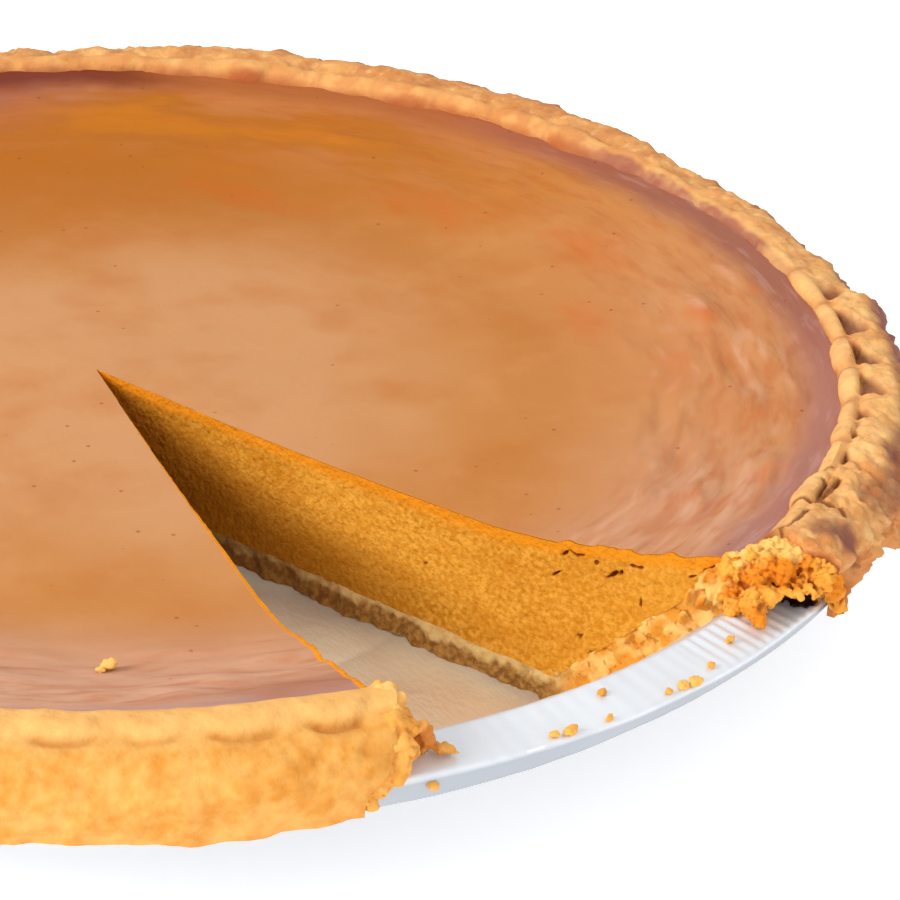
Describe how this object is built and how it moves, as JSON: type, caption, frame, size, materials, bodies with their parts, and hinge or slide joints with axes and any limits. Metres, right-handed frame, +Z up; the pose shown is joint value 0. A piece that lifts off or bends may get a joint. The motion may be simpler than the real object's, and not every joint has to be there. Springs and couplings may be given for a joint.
{
  "type": "pumpkin pie",
  "caption": "Round baked pumpkin pie with a crimped pastry rim in its fluted foil tin, with a wedge slice taken out.",
  "frame": {"origin": "centre of the tin's base, on the surface that the tin stands on", "axes": "+Z up through the pie's axis, -Y through the middle of the missing slice"},
  "size_m": [0.2436, 0.2411, 0.0353],
  "materials": {
    "foil": "bright pressed foil with fine puckers",
    "pastry": "baked golden shortcrust, matt, browned on its ridges",
    "filling": "set pumpkin custard with a satin skin and a moist cut face"
  },
  "bodies": {
    "root": {"foil_tin": "foil", "pastry_crust": "pastry", "pumpkin_filling": "filling"}
  },
  "joints": []
}
